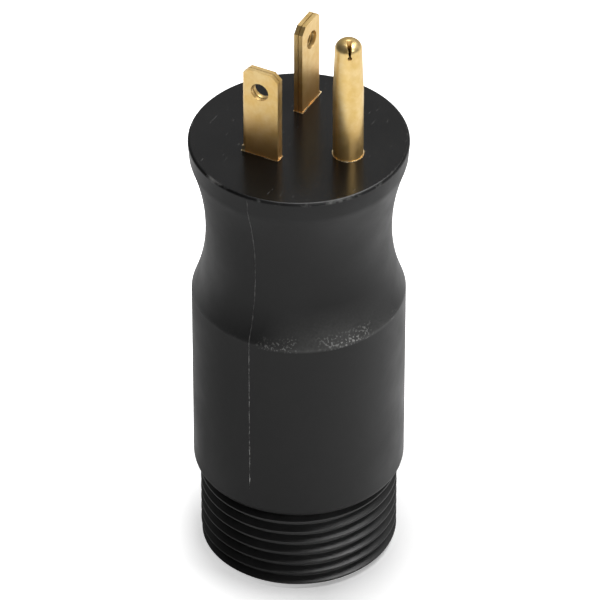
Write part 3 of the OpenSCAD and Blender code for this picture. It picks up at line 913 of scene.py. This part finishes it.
slit = block("slit", (0, -slit_w / 2, slit_z), (slit_reach, slit_w / 2, pin_top))
pick(slit, lambda c: c.z > slit_z + 0.1)
bpy.ops.transform.resize(value=(1, slit_top_w / slit_w, 1), center_override=(0, 0, pin_top))
bpy.ops.mesh.select_mode(type="FACE")
bpy.ops.mesh.extrude_region_move(TRANSFORM_OT_translate={"value": (0, 0, 1)})
bpy.ops.object.mode_set(mode="OBJECT")
eye = cylinder("eye", eye_r, slit_reach, (slit_reach / 2, 0, slit_z), (0, math.pi / 2, 0), 32)
for cutter in (slit, eye):
    take(cutter)
    cutter.rotation_euler = (0, 0, slit_turn)
    settle()
    faces = len(pin.data.polygons)
    combine(pin, cutter)
    print("pin seam: faces", faces, "before the cut and", len(pin.data.polygons), "after")
soften(pin, 0.06, angle=50)
take(pin)
pin.location = (0, pin_y, 0)
settle()
hand_over(pin, pin_brass, ("ground_pin",), smooth=25)

# %% [markdown]
# ## Burrs at the prongs
# Where each prong leaves the face a thin broken lip of brass was pushed up,
# and it catches bright glints. A low collar is made from a block or a rod and
# subdivided, and its upper corners are shoved at random, so it stands up in
# some places and lies under the face in others. The prong's own space is then
# cut out of it. At the line blade that cut is not clean: faces of the cutting
# block stay in the piece, and stand out 1 mm high at the blade's folded edge.
# Bump would not do, because the lip is seen edge on.

# %% Burrs at the prongs
lip_w, lip_h, sink, bite = 0.12, 0.08, 0.12, 0.02
lip_low, lip_high = face_z - sink, face_z + lip_h
space_low, space_high = face_z - 1, face_z + 1
burr_brass = brass("burr_brass", (0.80, 0.62, 0.34), (0.92, 0.78, 0.52), 0.22, 0.36)


def burr(lip, prong, shove, seed):
    """Shoves the top of a low collar uneven and cuts the prong's space out of it."""
    pick(lip, lambda c: True)
    bpy.ops.mesh.select_mode(type="EDGE")
    bpy.ops.mesh.select_all(action="SELECT")
    bpy.ops.mesh.subdivide(number_cuts=7)
    bpy.ops.object.mode_set(mode="OBJECT")
    pick(lip, lambda c: c.z > face_z + lip_h * 0.6)
    bpy.ops.transform.vertex_random(offset=shove, uniform=0.0, normal=0.0, seed=seed)
    bpy.ops.object.mode_set(mode="OBJECT")
    combine(lip, prong)
    return hand_over(lip, burr_brass, smooth=20)


for name, middle, half_size, shove, seed in (
        ("line_burr", line_middle, line_half, 0.11, 3),
        ("neutral_burr", neutral_middle, neutral_half, 0.17, 5)):
    burr(blade_box(name, middle, half_size, lip_w, lip_low, lip_high),
         blade_box("prong_space", middle, half_size, -bite, space_low, space_high),
         shove, seed)
burr(rod("pin_burr", pin_r + lip_w, lip_low, lip_high, (0, pin_y), 24),
     rod("prong_space", pin_r - bite, space_low, space_high, (0, pin_y), 24), 0.12, 8)

# %% [markdown]
# ## Inner pieces
# The contacts, wires and fillings are hidden unless someone takes the part
# apart or looks into the coupling end, and their solids already have the
# right shape. So they stay, and each gets the finish of its own material.

# %% Inner pieces: finishes
inner_finishes = {}
for node, name, dark, light, low_gloss, high_gloss in (
        ("contact_carrier", "carrier_grey", (0.045, 0.044, 0.040), (0.07, 0.068, 0.062), 0.35, 0.5),
        ("contact_retainer", "retainer_tan", (0.13, 0.11, 0.08), (0.18, 0.155, 0.115), 0.45, 0.6),
        ("bridge", "bridge_grey", (0.05, 0.05, 0.055), (0.08, 0.08, 0.085), 0.4, 0.55),
        ("inner_mould", "filling_grey", (0.22, 0.22, 0.20), (0.30, 0.30, 0.27), 0.5, 0.65),
        ("line_jacket", "black_wire", (0.008, 0.008, 0.008), (0.014, 0.014, 0.014), 0.35, 0.5),
        ("neutral_jacket", "white_wire", (0.70, 0.70, 0.67), (0.80, 0.80, 0.77), 0.35, 0.5),
        ("ground_jacket", "green_wire", (0.015, 0.14, 0.03), (0.025, 0.20, 0.05), 0.35, 0.5)):
    inner_finishes[node] = moulding(name, dark, light, low_gloss, high_gloss)
contact_brass = brass("contact_brass", (0.66, 0.44, 0.17), (0.78, 0.56, 0.26), 0.22, 0.36)
copper = brass("wire_copper", (0.70, 0.30, 0.17), (0.82, 0.40, 0.25), 0.25, 0.4)
for name in ("line", "neutral", "ground"):
    inner_finishes[name + "_contact"] = contact_brass
    inner_finishes[name + "_core"] = copper
for node, coat in inner_finishes.items():
    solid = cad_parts[node]
    solid.data.materials.clear()
    solid.data.materials.append(coat)
print("finishes on", len(inner_finishes), "inner solids")

# %% [markdown]
# ## Closing
# At the end the script leaves edit mode and selects nothing. The dressed
# model may not grow past the measured one.

# %% Closing
drop_all()
